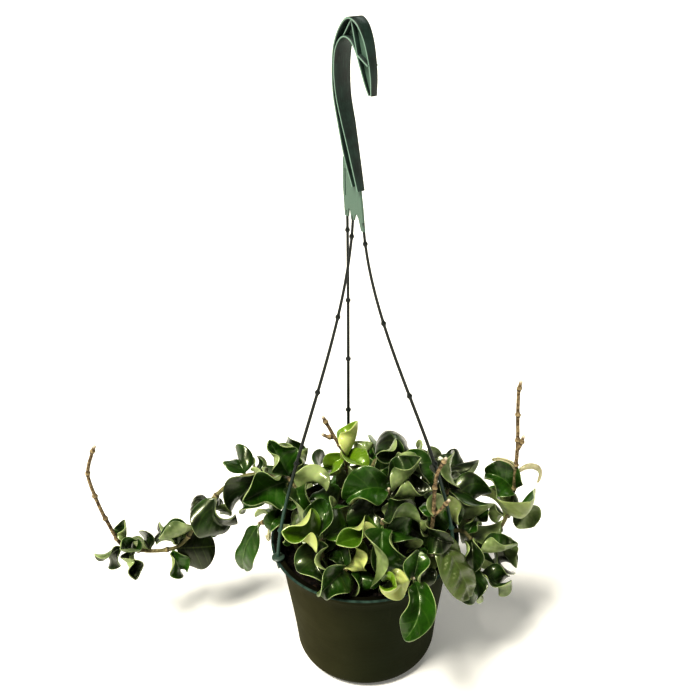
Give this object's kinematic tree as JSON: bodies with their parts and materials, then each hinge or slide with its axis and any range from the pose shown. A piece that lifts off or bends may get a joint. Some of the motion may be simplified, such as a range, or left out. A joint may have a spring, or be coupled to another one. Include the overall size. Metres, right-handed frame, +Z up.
{
  "type": "hindu rope plant",
  "caption": "Trailing wax plant with thick, folded and curled leaves, in a plastic hanging pot with a moulded three-legged hook.",
  "frame": {"origin": "centre of the flat underside of the pot's foot", "axes": "+Z up from the foot to the hook, +X to the right and +Y away from the viewer for whom one leafy stem trails to the left and one to the right"},
  "size_m": [0.3678, 0.237, 0.5092],
  "materials": {
    "pot_plastic": "dark olive-brown, matte",
    "potting_soil": "damp, dark and crumbly",
    "hanger_plastic": "dark green, satin",
    "leaf": "waxy green upper side, pale dull underside, pale margin"
  },
  "bodies": {
    "root": {"pot": "pot_plastic", "soil": "potting_soil", "hanger": "hanger_plastic", "stem_left_trailer": "leaf", "stem_right_trailer": "leaf", "stem_front_middle": "leaf", "stem_right_front": "leaf", "stem_front_right": "leaf", "stem_front_left": "leaf", "stem_front_centre": "leaf", "stem_left_inner": "leaf", "stem_left_low": "leaf", "stem_middle_back": "leaf", "stem_centre": "leaf", "stem_top_right": "leaf", "stem_right_middle": "leaf", "stem_right_low": "leaf", "stem_back_left": "leaf", "stem_back_centre": "leaf", "stem_back_right": "leaf"}
  },
  "joints": []
}
